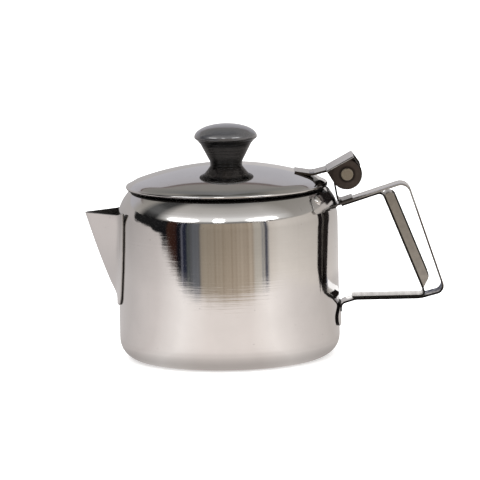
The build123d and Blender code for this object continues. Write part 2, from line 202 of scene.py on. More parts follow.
class Nodes:
    """A short way to write node trees."""

    def __init__(self, tree):
        self.tree = tree

    def add(self, kind, **settings):
        node = self.tree.nodes.new(kind)
        for key, value in settings.items():
            setattr(node, key, value)
        return node

    def link(self, source, target):
        self.tree.links.new(source, target)

    def put(self, socket, value):
        """A socket takes either a link or a plain number or colour."""
        if isinstance(value, bpy.types.NodeSocket):
            self.link(value, socket)
        else:
            socket.default_value = value

    def math(self, operation, a, b=0.0):
        node = self.add("ShaderNodeMath", operation=operation)
        self.put(node.inputs[0], a)
        self.put(node.inputs[1], b)
        return node.outputs[0]

    def coordinates(self):
        return self.add("ShaderNodeTexCoord").outputs["Object"]

    def split(self, vector):
        """The X, Y and Z of a vector."""
        node = self.add("ShaderNodeSeparateXYZ")
        self.link(vector, node.inputs[0])
        return node.outputs["X"], node.outputs["Y"], node.outputs["Z"]

    def xyz(self):
        """The object's own X, Y and Z."""
        return self.split(self.coordinates())

    def dot(self, vector, direction):
        node = self.add("ShaderNodeVectorMath", operation="DOT_PRODUCT")
        self.link(vector, node.inputs[0])
        node.inputs[1].default_value = direction
        return node.outputs["Value"]

    def distance(self, a, b):
        """How far (a, b) is from the origin."""
        return self.math("SQRT", self.math("ADD", self.math("MULTIPLY", a, a), self.math("MULTIPLY", b, b)))

    def mapped(self, vector, scale):
        node = self.add("ShaderNodeMapping")
        self.link(vector, node.inputs["Vector"])
        node.inputs["Scale"].default_value = scale
        return node.outputs[0]

    def noise(self, vector, scale, detail=3.0, rough=0.55, distortion=0.0):
        node = self.add("ShaderNodeTexNoise")
        self.link(vector, node.inputs["Vector"])
        node.inputs["Scale"].default_value = scale
        node.inputs["Detail"].default_value = detail
        node.inputs["Roughness"].default_value = rough
        node.inputs["Distortion"].default_value = distortion
        return node.outputs["Fac"]

    def ramp(self, factor, *stops):
        """stops are (position, grey or colour)."""
        node = self.add("ShaderNodeValToRGB")
        elements = node.color_ramp.elements
        while len(elements) < len(stops):
            elements.new(0.5)
        for element, (position, colour) in zip(elements, stops):
            element.position = position
            shade = colour if isinstance(colour, tuple) else (colour, colour, colour)
            element.color = (*shade, 1)
        self.put(node.inputs["Fac"], factor)
        return node.outputs["Color"]

    def remap(self, value, low, high, to_low=0.0, to_high=1.0, smooth=False):
        node = self.add("ShaderNodeMapRange", interpolation_type="SMOOTHSTEP" if smooth else "LINEAR")
        self.put(node.inputs["Value"], value)
        node.inputs["From Min"].default_value = low
        node.inputs["From Max"].default_value = high
        node.inputs["To Min"].default_value = to_low
        node.inputs["To Max"].default_value = to_high
        return node.outputs["Result"]

    def mix(self, factor, a, b, blend="MIX"):
        node = self.add("ShaderNodeMix", data_type="RGBA", blend_type=blend)
        self.put(node.inputs["Factor"], factor)
        for socket, value in ((node.inputs["A"], a), (node.inputs["B"], b)):
            self.put(socket, (*value, 1) if isinstance(value, tuple) else value)
        return node.outputs["Result"]

    def bump(self, height, distance, normal=None):
        node = self.add("ShaderNodeBump")
        node.inputs["Strength"].default_value = 1.0
        node.inputs["Distance"].default_value = distance
        self.link(height, node.inputs["Height"])
        if normal is not None:
            self.link(normal, node.inputs["Normal"])
        return node.outputs["Normal"]


def new_material(name):
    material = bpy.data.materials.new(name)
    material.use_nodes = True
    return material, Nodes(material.node_tree), material.node_tree.nodes["Principled BSDF"]


def empty_material(name):
    """A material with no nodes yet, for the staged things that only glow."""
    material = bpy.data.materials.new(name)
    material.use_nodes = True
    material.node_tree.nodes.clear()
    return material, Nodes(material.node_tree)


def tint(material, factor, colour, blend="MIX"):
    """Blends a colour over a material's base colour."""
    n = Nodes(material.node_tree)
    base = material.node_tree.nodes["Principled BSDF"].inputs["Base Color"]
    n.link(n.mix(factor, base.links[0].from_socket, colour, blend), base)


def scaled(colour, factor):
    """The colour, brighter or darker by a factor."""
    return tuple(c * factor for c in colour)


def steel(name, base, roughness, grain, grain_scale, grain_depth, wave_depth=0.0, specks=0.35):
    """Stainless steel: cloudy tone, uneven polish, buffing lines, slow waves and a few dull specks."""
    material, n, shader = new_material(name)
    where = n.coordinates()
    cloud = n.noise(where, 55.0, 3.0)
    fine = n.noise(n.mapped(where, grain_scale), grain, 4.0, 0.7)
    streak = n.noise(n.mapped(where, grain_scale), grain * 0.22, 2.0, 0.6)
    speck = n.remap(n.noise(where, 560.0, 1.0, 0.5), 0.765, 0.80)
    tone = n.mix(n.remap(cloud, 0.3, 0.7), scaled(base, 0.965), scaled(base, 1.03))
    tone = n.mix(n.math("MULTIPLY", speck, specks), tone, scaled(base, 0.45))
    n.link(tone, shader.inputs["Base Color"])
    shader.inputs["Metallic"].default_value = 1.0
    uneven = n.remap(cloud, 0.25, 0.75, roughness * 0.8, roughness * 1.2)
    rough = n.math("ADD", uneven, n.remap(streak, 0.35, 0.7, 0.0, roughness * 0.5))
    n.link(n.math("ADD", rough, n.math("MULTIPLY", speck, 0.02)), shader.inputs["Roughness"])
    normal = n.bump(fine, grain_depth)
    if wave_depth:
        normal = n.bump(n.noise(where, 24.0, 1.0), wave_depth, normal=normal)
    n.link(normal, shader.inputs["Normal"])
    return material


def hard_plastic(name, base):
    """Phenolic plastic: a glossy cap and a duller turned cone. The cap's lighter grey is painted sheen; the
    cone is darkest, as near-black painted shade, at its foot and under the cap.
    """
    material, n, shader = new_material(name)
    where = n.coordinates()
    z = n.split(where)[2]
    cloud = n.noise(where, 110.0, 2.0)
    lines = n.noise(n.mapped(where, (0.02, 0.02, 1)), 3600.0, 3.0, 0.6)
    scuff = n.remap(n.noise(n.mapped(where, (0.25, 0.25, 1)), 900.0, 4.0, 0.75, 0.4), 0.60, 0.74)
    cap = n.remap(z, 99.8 * MM, 101.0 * MM)
    foot = n.remap(z, 89.5 * MM, 92.0 * MM)
    cone = n.mix(n.remap(lines, 0.35, 0.65), scaled(base, 0.5), tuple(c * 1.9 + 0.009 for c in base))
    # Painted sheen: the cap's grey is lighter than the cone's
    tone = n.mix(cap, cone, (0.045, 0.045, 0.049))
    tone = n.mix(n.math("MULTIPLY", scuff, 0.10), tone, (0.16, 0.155, 0.15))
    # Painted shade: near-black at the cone's foot, then in the band under the cap
    tone = n.mix(foot, (0.002, 0.002, 0.002), tone)
    under_cap_shade = n.math(
        "MULTIPLY", n.remap(z, 95.8 * MM, 97.2 * MM), n.remap(z, 99.5 * MM, 99.1 * MM))
    tone = n.mix(under_cap_shade, tone, (0.0015, 0.0015, 0.002))
    n.link(tone, shader.inputs["Base Color"])
    dull = n.math("MULTIPLY", n.math("SUBTRACT", 1.0, cap), 0.08)
    rough = n.math("ADD", n.remap(cloud, 0.3, 0.7, 0.07, 0.11), dull)
    n.link(n.math("ADD", rough, n.math("MULTIPLY", scuff, 0.12)), shader.inputs["Roughness"])
    n.link(n.remap(cap, 0.0, 1.0, 0.16, 0.9), shader.inputs["Specular IOR Level"])
    n.link(n.remap(cap, 0.0, 1.0, 0.1, 1.0), shader.inputs["Coat Weight"])
    shader.inputs["IOR"].default_value = 1.6
    shader.inputs["Coat IOR"].default_value = 1.7
    shader.inputs["Coat Roughness"].default_value = 0.04
    n.link(n.bump(lines, 0.000003), shader.inputs["Normal"])
    return material


def add_sheared_sides_and_painted_shade(
    material, base, roughness, inside, rim=None, outline=None, shade=(0.012, 0.011, 0.011),
):
    """Faces that look along Y are the sheet's cut edges: duller and scored along the cut, and darker,
    partly as painted shade.

    Faces that look along inside get painted shade, rim(n) paints a near-black shade line on parts of the
    edges, and outline paints the edges where they turn towards Y, dark for a shade line, light for a
    highlight.
    """
    n = Nodes(material.node_tree)
    normal = n.add("ShaderNodeTexCoord").outputs["Normal"]
    sideways = n.math("ABSOLUTE", n.split(normal)[1])
    scores = n.noise(n.coordinates(), 320.0, 5.0, 0.75)
    dark = n.mix(n.remap(scores, 0.35, 0.7), scaled(base, 0.86), scaled(base, 1.14))
    if rim is not None:
        dark = n.mix(rim(n), scaled(base, 0.06), dark)
    if outline is not None:
        dark = n.mix(n.remap(sideways, 0.94, 0.985), outline, dark)
    tint(material, n.remap(n.dot(normal, inside), 0.35, 0.6), shade)
    side = n.remap(sideways, 0.55, 0.8)
    tint(material, side, dark)
    rough = material.node_tree.nodes["Principled BSDF"].inputs["Roughness"]
    n.link(n.mix(side, rough.links[0].from_socket, (roughness,) * 3), rough)
    return material


# How the grain is stretched: drawn round the axis, ground across the sheet, or even
AROUND = (0.015, 0.015, 1)
ACROSS = (1, 0.05, 1)
EVEN = (1, 1, 1)

polished = steel("polished_steel", (0.75, 0.74, 0.73), 0.05, 1100.0, AROUND, 0.000014, 0.00003)
lid_steel = steel("polished_steel_lid", (0.75, 0.74, 0.735), 0.045, 900.0, EVEN, 0.0000003, 0.00001)
# Painted shade: a near-black steel for the lid rim's underside
rim_shade_steel = steel("rim_underside_shade", (0.014, 0.013, 0.013), 0.4, 1200.0, EVEN, 0.000004, specks=0.5)
# Painted shade: a dark steel for the spout's inside
inside_shade_steel = steel("inside_shade", (0.09, 0.087, 0.085), 0.3, 1200.0, EVEN, 0.000006, specks=0.5)
ear_steel = steel("polished_rivet", (0.80, 0.79, 0.78), 0.05, 1500.0, EVEN, 0.0000001, specks=0.0)
satin = steel("lid_ring_steel", (0.52, 0.50, 0.47), 0.3, 1900.0, AROUND, 0.000006, specks=0.5)
rivet = steel("rivet_steel", (0.30, 0.265, 0.21), 0.5, 1600.0, EVEN, 0.00004, specks=0.9)
zinc = steel("zinc_steel", (0.60, 0.60, 0.59), 0.25, 1500.0, EVEN, 0.00001, specks=0.5)
brass = steel("brass", (0.70, 0.52, 0.24), 0.2, 1500.0, EVEN, 0.00001, specks=0.5)
plastic = hard_plastic("dark_plastic", (0.013, 0.0115, 0.011))

# The strap's faces, with patchy painted shade at their lower bend
strip_steel = steel(
    "polished_strip", (0.70, 0.69, 0.685), 0.10, 1500.0, (1, 0.03, 1), 0.0000015, 0.00002, 0.4)
n = Nodes(strip_steel.node_tree)
x, y, z = n.xyz()
bend = n.math("MULTIPLY", n.remap(x, 89.0 * MM, 93.0 * MM), n.remap(z, 36.0 * MM, 30.0 * MM))
patches = n.remap(n.noise(n.mapped(n.coordinates(), (1, 0.1, 1)), 700.0), 0.3, 0.6, 0.45, 1.0)
tint(strip_steel, n.math("MULTIPLY", bend, patches), (0.06, 0.058, 0.062))

# The spout's cut edge: near-black painted shade where it meets the pot, bright where it stands off the pot
spout_edge = steel("spout_edge", (0.05, 0.046, 0.044), 0.35, 1500.0, EVEN, 0.000006, specks=0.4)
n = Nodes(spout_edge.node_tree)
x, y, z = n.xyz()
outer = n.remap(n.distance(x, y), (BODY_R + 0.42) * MM, (BODY_R + 0.55) * MM)
tint(spout_edge, outer, (0.45, 0.44, 0.43))

# The strap's cut edges, with painted shade: almost black along the lower arm, and a dark band along the
# upper one
strap_edge = steel("strap_edge", (0.21, 0.175, 0.155), 0.35, 1500.0, EVEN, 0.000006, specks=0.4)
n = Nodes(strap_edge.node_tree)
x, y, z = n.xyz()
tint(strap_edge, n.remap(z, 31.0 * MM, 29.0 * MM), (0.016, 0.015, 0.015))
upper_arm_shade = n.ramp(
    n.math("MULTIPLY", x, 10.0),
    (0.47, (0.42, 0.41, 0.40)), (0.50, (0.12, 0.112, 0.108)),
    (0.56, (0.12, 0.112, 0.108)), (0.66, (0.42, 0.41, 0.40)),
)
tint(strap_edge, n.remap(z, 66.0 * MM, 67.5 * MM), upper_arm_shade)

# The grip's web, from its upper to its lower corner, and the way out from it towards the strap
WEB_TOP = Vector((70.3, 0, 73.7))
WEB_BOTTOM = Vector((88.9, 0, 26.9))
WEB_OUT = Vector((WEB_TOP.z - WEB_BOTTOM.z, 0, WEB_BOTTOM.x - WEB_TOP.x)).normalized()
WEB_SHEET = 0.9
FLANGE_REACH = 4.95
FOOT_Z = 28.4
# A point on the upper arm's underside, and the way down from it
ARM_POINT = Vector((70.3, 0, 73.2))
ARM_DOWN = Vector((0.295, 0, -0.955))


def grip_rim(n):
    """0 on the cut edge of the grip's sheet, which takes a near-black painted shade line; 1 on the flange
    that stands behind it.
    """
    def beyond(direction, start, width):
        return n.remap(n.dot(n.coordinates(), direction), start * MM, (start + width) * MM)

    face = WEB_TOP.dot(WEB_OUT)
    flange = n.math(
        "MULTIPLY", beyond(WEB_OUT, face + WEB_SHEET, 0.2), beyond(-WEB_OUT, -face - FLANGE_REACH, 0.2))
    above_foot = beyond((0, 0, 1), FOOT_Z, 0.3)
    below_arm = beyond(ARM_DOWN, ARM_DOWN.dot(ARM_POINT), 0.3)
    return n.math("MULTIPLY", n.math("MULTIPLY", flange, above_foot), below_arm)


def pin_shade_ring(n):
    """How much of the cheek's tone shows: little round the pin's head and none on its upper rim, where the
    cheek gets near-black painted shade.
    """
    x, y, z = n.xyz()
    reach = n.distance(n.math("SUBTRACT", x, PIN_X * MM), n.math("SUBTRACT", z, PIN_Z * MM))
    ring = n.ramp(
        n.math("MULTIPLY", reach, 100.0),
        (0.30, 0.35), (0.34, 0.4), (0.42, 1.0), (0.60, 1.0), (0.66, 0.75),
    )
    upper = n.math("MULTIPLY", n.remap(z, 84.0 * MM, 86.5 * MM), n.remap(x, 55.5 * MM, 57.5 * MM))
    curve = n.distance(n.math("SUBTRACT", x, 54.3 * MM), n.math("SUBTRACT", z, 83.6 * MM))
    rim = n.remap(curve, 6.3 * MM, 6.7 * MM)
    return n.mix(n.math("MULTIPLY", upper, rim), ring, (0.0, 0.0, 0.0))


# The grip: darker flanges and cut edges, near-black outlines and shaded inside faces, all painted shade
grip_steel = add_sheared_sides_and_painted_shade(
    steel("satin_steel", (0.60, 0.585, 0.56), 0.24, 1900.0, ACROSS, 0.000006, specks=0.4),
    (0.37, 0.352, 0.32), 0.36, inside=(-0.925, 0, -0.38), rim=grip_rim,
    outline=(0.02, 0.018, 0.016), shade=(0.03, 0.026, 0.024))
# The bracket: its steel painted darker, with near-black cut edges and inside faces, as painted shade
bracket_steel = add_sheared_sides_and_painted_shade(
    steel("bracket_steel", (0.27, 0.26, 0.255), 0.2, 1900.0, ACROSS, 0.000006, specks=0.4),
    (0.04, 0.037, 0.035), 0.4, inside=(-0.98, 0, 0.1))
# The hood: painted shade on its cheeks and underside, and a lighter painted highlight along its folds
hood_steel = add_sheared_sides_and_painted_shade(
    steel("hood_steel", (0.47, 0.46, 0.475), 0.12, 1500.0, ACROSS, 0.000002, specks=0.4),
    (0.11, 0.096, 0.092), 0.28, inside=(0, 0, -1), rim=pin_shade_ring, outline=(0.34, 0.32, 0.30))
# Painted shade: the hood dims from the pin towards its tip
n = Nodes(hood_steel.node_tree)
x, y, z = n.xyz()
tip_shade = n.ramp(n.math("MULTIPLY", x, 10.0), (0.36, 0.75), (0.45, 0.55), (0.50, 0.75), (0.56, 1.0))
tint(hood_steel, 1.0, tip_shade, "MULTIPLY")


# ---------------------------------------------------------------- pot

mouth_angle = math.degrees(math.asin((MOUTH_Z - SHOULDER_Z) / SHOULDER_R))
corner_x = BODY_R - BASE_R
shoulder_x = BODY_R - SHOULDER_R
mouth_x = shoulder_x + math.sqrt(SHOULDER_R ** 2 - (MOUTH_Z - SHOULDER_Z) ** 2)
bead = (mouth_x - 0.6, MOUTH_Z - 0.4)
pot_profile = joined(
    [(0, 0)],
    line((8, 0), (corner_x, 0), 8),
    arc((corner_x, BASE_R), BASE_R, -90, 0, 20),
    line((BODY_R, BASE_R), (BODY_R, SHOULDER_Z), 26),
    arc((shoulder_x, SHOULDER_Z), SHOULDER_R, 0, mouth_angle - 1.5, 36),
    arc(bead, BEAD_R, 5, 215, 12),
    arc((shoulder_x, SHOULDER_Z), SHOULDER_R - SHELL, mouth_angle - 2.5, 0, 30),
    line((BODY_R - SHELL, SHOULDER_Z), (BODY_R - SHELL, BASE_R), 26),
    arc((corner_x, BASE_R), BASE_R - SHELL, 0, -90, 14),
    line((corner_x, SHELL), (8, SHELL), 6),
    [(0, SHELL)],
)
pot = lathe("pot_shell_body", pot_profile, closed=False)


def drill(obj, centres, radius, start_x, end_x):
    """Cuts round holes along X through obj."""
    bm = bmesh.new()
    for y, z in centres:
        made = bmesh.ops.create_cone(
            bm, cap_ends=True, segments=28, radius1=radius * MM, radius2=radius * MM,
            depth=(end_x - start_x) * MM
        )
        quarter_turn = Matrix.Rotation(math.pi / 2, 3, "Y")
        bmesh.ops.rotate(bm, verts=made["verts"], matrix=quarter_turn, cent=(0, 0, 0))
        bmesh.ops.translate(bm, verts=made["verts"], vec=((start_x + end_x) / 2 * MM, y * MM, z * MM))
    mesh = bpy.data.meshes.new("drill")
    bm.to_mesh(mesh)
    bm.free()
    cutter = bpy.data.objects.new("drill", mesh)
    scene.collection.objects.link(cutter)
    boolean = obj.modifiers.new("holes", "BOOLEAN")
    boolean.operation = "DIFFERENCE"
    boolean.solver = "EXACT"
    boolean.object = cutter
    apply_modifiers(obj)
    bpy.data.objects.remove(cutter)


hole_centres = [
    ((i - (count - 1) / 2) * HOLE_PITCH, HOLE_FIRST_Z + row * HOLE_PITCH)
    for row, count in enumerate(HOLE_ROWS) for i in range(count)
]
drill(pot, hole_centres, HOLE_R, start_x=-60, end_x=-40)
place(pot, "pot", "polished_steel", polished, "pot_shell")


# ---------------------------------------------------------------- lid

def dome_profile(inset):
    """The dome from the screw hole to its rim, moved inwards by inset."""
    centre = (0, LID_APEX - DOME_R)
    radius = DOME_R - inset
    end_angle = 90 - math.degrees(math.asin(DOME_REACH / DOME_R))
    main = arc(centre, radius, 90 - math.degrees(math.asin(SCREW_HOLE_R / radius)), end_angle, 30)
    start = Vector(main[-1])
    end = Vector((RIM_TOP[0] - inset, RIM_TOP[1] - inset))
    normal = Vector((math.cos(math.radians(end_angle)), math.sin(math.radians(end_angle))))
    chord = end - start
    bend = chord.length_squared / (2 * -chord.dot(normal))
    rim_centre = start - normal * bend
    last = math.degrees(math.atan2(end.y - rim_centre.y, end.x - rim_centre.x))
    return joined(main, arc(rim_centre, bend, end_angle, last, 10))


lid = lathe("lid_dome", joined(
    dome_profile(0),
    arc(RIM_BEAD, BEAD_R, 78, -160, 18),
    dome_profile(SHELL)[::-1],
), closed=True)
# The underside of the rim, outside the pot's mouth, gets the second material: near-black painted shade
for polygon in lid.data.polygons:
    if polygon.normal.z < -0.25 and polygon.center.xy.length > 43.2 * MM:
        polygon.material_index = 1
place(lid, "lid", "polished_steel", (lid_steel, rim_shade_steel), "lid_shell")


# ---------------------------------------------------------------- spout

def smooth_table(table, height, column):
    """Catmull-Rom interpolation down a table whose first column is the height."""
    heights = [row[0] for row in table]
    i = min(max(int(np.searchsorted(heights, height)) - 1, 0), len(table) - 2)
    t = (height - heights[i]) / (heights[i + 1] - heights[i])

    def slope(k):
        a, b = max(k - 1, 0), min(k + 1, len(table) - 1)
        return (table[b][column] - table[a][column]) / (heights[b] - heights[a])

    step = heights[i + 1] - heights[i]
    p0, p1, m0, m1 = table[i][column], table[i + 1][column], slope(i) * step, slope(i + 1) * step
    return (
        (2 * t**3 - 3 * t**2 + 1) * p0 + (t**3 - 2 * t**2 + t) * m0
        + (3 * t**2 - 2 * t**3) * p1 + (t**3 - t**2) * m1
    )


def spout_row(height, rise):
    """One horizontal row of the spout's outer face; rise lifts the flange's share of it."""
    reach, spread, nose = (smooth_table(SPOUT_LEVELS, height, c) for c in (1, 2, 3))
    slant = math.hypot(spread, 1)
    sharp = reach + nose * (math.hypot(1, 1 / spread) - 1)
    face = BODY_R + FLANGE_FACE
    nose_centre = reach - nose
    tangent = math.atan2(nose / slant, nose_centre + nose * spread / slant)
    foot = math.asin(min(1, sharp * spread / (face * slant))) - math.atan(spread) if sharp > face else 0
    foot = max(foot, tangent + 0.01)
    edge = math.asin(np.interp(height, *zip(*FLANGE_EDGE)) / face)
    fillet = min(0.045, (foot - tangent) * 0.5)
    edge = max(edge, foot + fillet + 0.02)
    turns = [
        np.linspace(0, tangent, 7)[:-1],
        np.linspace(tangent, foot - fillet, 9)[:-1],
        np.linspace(foot - fillet, foot + fillet, 13)[:-1],
        np.linspace(foot + fillet, edge, 9),
    ]
    shares = np.concatenate([np.zeros(6 + 8), np.linspace(0, 1, 13)[:-1] ** 2, np.ones(9)])
    row = []
    for turn, share in zip(np.concatenate(turns), shares):
        wall = sharp * spread / (math.sin(turn) + spread * math.cos(turn))
        if turn < tangent:
            wall = nose_centre * math.cos(turn) + math.sqrt(nose**2 - (nose_centre * math.sin(turn)) ** 2)
        blend = 1.1
        near = max(blend - abs(wall - face), 0) / blend
        radius = max(wall, face) + near**2 * blend / 4
        row.append((-radius * math.cos(turn), radius * math.sin(turn), height + rise * share))
    return [(x, -y, z) for x, y, z in row[:0:-1]] + row


spout_heights = [
    SPOUT_BOTTOM + (SPOUT_EVEN - SPOUT_BOTTOM) * (1 - math.cos(math.pi / 2 * i / 10)) for i in range(10)
] + list(np.linspace(SPOUT_EVEN, SPOUT_TOP, 44))
spout = grid("spout_sheet", [
    spout_row(z, FLANGE_TIP * max(0, (z - FLANGE_RISE_FROM) / FLANGE_RISE_OVER) ** 2)
    for z in spout_heights
])


def thicken(obj, thickness, bevel):
    """Gives a sheet its thickness, with softened edges."""
    solid = obj.modifiers.new("sheet", "SOLIDIFY")
    solid.thickness = thickness * MM
    solid.offset = -1
    solid.use_even_offset = True
    solid.material_offset = 1
    solid.material_offset_rim = 2
    soften(obj, bevel)


def soften(obj, width):
    """Rounds an object's sharp edges and keeps its broad faces flat to the eye."""
    bevel = obj.modifiers.new("edges", "BEVEL")
    bevel.width = width * MM
    bevel.segments = BEVEL_SEGMENTS
    bevel.limit_method = "ANGLE"
    bevel.angle_limit = math.radians(BEVEL_ANGLE)
    bevel.harden_normals = True
    bevel.use_clamp_overlap = True


thicken(spout, SPOUT_SHEET, 0.2)
place(spout, "pot", "polished_steel", (polished, inside_shade_steel, spout_edge), "spout")


# ---------------------------------------------------------------- handle strap and its two rivets

STRAP_SHEET = 0.9
STRAP_HALF = 6.25
STRAP_ROUND = 0.14
EAR_FACE = 0.9
PLATE_SHEET = 0.85
STRAP_PATH = (
    ((44.0, 67.5), 0), ((82.15, 79.29), 5.0), ((98.8, 28.1), 3.8), ((87.0, 25.1), 14.0),
    ((57.5, 25.1), 8.0), ((51.25, 23.3), 2.2), ((51.25, 20.0), 0),
)
EAR_BOTTOM, EAR_TOP = 68.2, 75.6
EAR_HALF_BOTTOM, EAR_HALF_TOP = 32.0, 27.8
PAD_BOTTOM, PAD_TOP, PAD_HALF = 14.0, 24.0, 13.0
PAD_TAPER = 4.6
RIVET_AZIMUTH = math.radians(31.3)
RIVET_Z = 73.1


def rounded_path(corners, step):
    """Points along a polyline whose corners are rounded; each corner is (point, radius)."""
    points = [Vector(corners[0][0])]
    for (before, _), (corner, radius), (after, _) in zip(corners, corners[1:], corners[2:]):
        corner = Vector(corner)
        back, onward = (Vector(before) - corner).normalized(), (Vector(after) - corner).normalized()
        half = back.angle(onward) / 2
        reach = radius / math.tan(half)
        centre = corner + (back + onward).normalized() * (radius / math.sin(half))
        start, end = corner + back * reach - centre, corner + onward * reach - centre
        turn = start.angle_signed(end)
        count = max(4, int(abs(turn) / math.radians(7)))
        for i in range(count + 1):
            a = -turn * i / count
            points.append(centre + Vector((
                start.x * math.cos(a) - start.y * math.sin(a),
                start.x * math.sin(a) + start.y * math.cos(a),
            )))
    points.append(Vector(corners[-1][0]))
    dense = [points[0]]
    for point in points[1:]:
        gap = (point - dense[-1]).length
        pieces = max(1, int(gap / step))
        first = dense[-1].copy()
        for i in range(1, pieces + 1):
            dense.append(first.lerp(point, i / pieces))
    return dense


def strip(name, corners, half_width, sheet):
    """A bent strip: its outer face follows the path, and its sides get the second material slot."""
    path = rounded_path(corners, 2.0)
    section = []
    for (y, d), start in (((1, 0), 90), ((1, 1), 0), ((-1, 1), -90), ((-1, 0), -180)):
        for k in range(4):
            a = math.radians(start - 30 * k)
            section.append((
                y * (half_width - STRAP_ROUND) + STRAP_ROUND * math.cos(a),
                (STRAP_ROUND if d == 0 else sheet - STRAP_ROUND) - STRAP_ROUND * math.sin(a),
            ))
    rows = []
    for i, point in enumerate(path):
        along = (path[min(i + 1, len(path) - 1)] - path[max(i - 1, 0)]).normalized()
        inward = Vector((along.y, -along.x))
        rows.append([
            (point.x + inward.x * depth, y, point.y + inward.y * depth) for y, depth in section
        ])
    obj = grid(name, rows, wrap=True)
    mesh = obj.data
    for polygon in mesh.polygons:
        if abs(polygon.normal.y) > 0.6:
            polygon.material_index = 1
    bm = bmesh.new()
    bm.from_mesh(mesh)
    bmesh.ops.holes_fill(bm, edges=[e for e in bm.edges if e.is_boundary], sides=0)
    bm.to_mesh(mesh)
    bm.free()
    return obj


def hugging_plate(name, face, z_low, z_high, half_width, corner):
    """A plate on the pot's +X side between two heights.

    half_width gives its half width at a height, and corner its corner radii below and above.
    """
    columns, rows = 40, 16
    sheet_rows = []
    for i in range(rows + 1):
        z = (z_low + z_high) / 2 - (z_high - z_low) / 2 * math.cos(math.pi * i / rows)
        radius = BODY_R + face
        if z > SHOULDER_Z:
            radius = shoulder_x + math.sqrt((SHOULDER_R + face) ** 2 - (z - SHOULDER_Z) ** 2)
        half = half_width(z)
        for end, side in ((z_low, 0), (z_high, 1)):
            near = corner[side] - abs(z - end)
            if near > 0:
                half -= corner[side] - math.sqrt(corner[side] ** 2 - near**2)
        ys = [half * math.sin(math.pi / 2 * (2 * j / columns - 1)) for j in range(columns + 1)]
        sheet_rows.append([(math.sqrt(radius**2 - y * y), y, z) for y in ys])
    obj = grid(name, sheet_rows)
    thicken(obj, PLATE_SHEET, 0.18)
    return obj


def rivet_mesh(name, azimuths, slope):
    """Domed rivet heads outside the shoulder and upset tails inside it, as one mesh."""
    profile = [
        (0.0, 1.0), (0.7, 0.96), (1.3, 0.84), (1.8, 0.62), (2.2, 0.33), (2.4, 0.0), (2.4, -0.06),
        (1.3, -0.06), (1.3, -1.54), (2.1, -1.54), (2.1, -1.9), (1.7, -2.1), (0.0, -2.2),
    ]
    reach = shoulder_x + (SHOULDER_R + EAR_FACE) * math.cos(slope)
    rise = SHOULDER_Z + (SHOULDER_R + EAR_FACE) * math.sin(slope)
    bm = bmesh.new()
    for azimuth in azimuths:
        single = lathe("single", profile, closed=False, steps=40)
        normal = Vector((
            math.cos(slope) * math.cos(azimuth), math.cos(slope) * math.sin(azimuth), math.sin(slope)
        ))
        turn_to = normal.to_track_quat("Z", "Y").to_matrix().to_4x4()
        seat = Matrix.Translation((
            reach * math.cos(azimuth) * MM, reach * math.sin(azimuth) * MM, rise * MM
        ))
        single.data.transform(seat @ turn_to)
        bm.from_mesh(single.data)
        bpy.data.objects.remove(single)
    mesh = bpy.data.meshes.new(name)
    bm.to_mesh(mesh)
    bm.free()
    return finish_mesh(name, mesh, sharp_degrees=50)


def joined_objects(name, *objs):
    """One piece from several: modifiers are applied and material indices are kept."""
    bm = bmesh.new()
    for obj in objs:
        if obj.modifiers:
            for _ in range(3):
                obj.data.materials.append(None)
            apply_modifiers(obj)
        bm.from_mesh(obj.data)
        bpy.data.objects.remove(obj)
    mesh = bpy.data.meshes.new(name)
    bm.to_mesh(mesh)
    bm.free()
    return finish_mesh(name, mesh)


def ear_half(z):
    """The ear narrows evenly from its bottom to its top."""
    share = (z - EAR_BOTTOM) / (EAR_TOP - EAR_BOTTOM)
    return EAR_HALF_BOTTOM + (EAR_HALF_TOP - EAR_HALF_BOTTOM) * share


def pad_half(z):
    """The pad tapers to the strap's width near its top."""
    return float(np.interp(z, (PAD_TOP - PAD_TAPER, PAD_TOP), (PAD_HALF, STRAP_HALF + 0.6)))


strap = joined_objects(
    "handle_strip",
    strip("strap_strip", STRAP_PATH, STRAP_HALF, STRAP_SHEET),
    hugging_plate("strap_ear", EAR_FACE, EAR_BOTTOM, EAR_TOP, ear_half, (2.2, 2.2)),
    hugging_plate("strap_pad", EAR_FACE, PAD_BOTTOM, PAD_TOP, pad_half, (4.0, 0.6)),
)
place(strap, "pot", "polished_steel", (strip_steel, strip_steel, strap_edge), "handle_strap")
# Sides that look along Y are cut edges; the plates' inner faces share the second slot
for polygon in strap.data.polygons:
    if polygon.material_index == 1 and abs(polygon.normal.y) > 0.6:
        polygon.material_index = 2
rivet_slope = math.asin((RIVET_Z - SHOULDER_Z) / SHOULDER_R)
rivets = rivet_mesh("ear_rivet_pair", (RIVET_AZIMUTH, -RIVET_AZIMUTH), rivet_slope)
place(rivets, "pot", "polished_steel", ear_steel, "ear_rivets")


# ---------------------------------------------------------------- knob

KNOB_R = 14.3
CAP_Z = 100.6
CAP_RISE = 5.9
knob_profile = joined(
    [(0, CAP_Z + CAP_RISE)],
    [
        (KNOB_R * math.sin(math.radians(a)), CAP_Z + CAP_RISE * math.cos(math.radians(a)))
        for a in range(4, 91, 3)
    ],
    arc((13.3, 100.5), 1.0, 0, -80, 8),
    line((13.2, 99.3), (12.0, 97.9), 4),
    arc((11.2, 97.9), 0.6, 0, -40, 3),
    line((11.5, 97.3), (7.5, 89.6), 22),
    arc((8.3, 88.9), 1.0, 150, 200, 4),
    [(7.1, 88.1), (3.4, 88.3), (3.4, 96.8), (0, 96.8)],
)
knob = lathe("knob_body", knob_profile, closed=False, steps=160)
place(knob, "lid", "dark_plastic", plastic, "knob")


# ---------------------------------------------------------------- carried-over CAD nodes

def dress(node, material, bevel):
    """A CAD node with its material and softened edges."""
    obj = nodes[node]
    obj.data.materials.clear()
    obj.data.materials.append(material)
    if bevel:
        weld = obj.modifiers.new("weld", "WELD")
        weld.merge_threshold = 0.00001
        soften(obj, bevel)


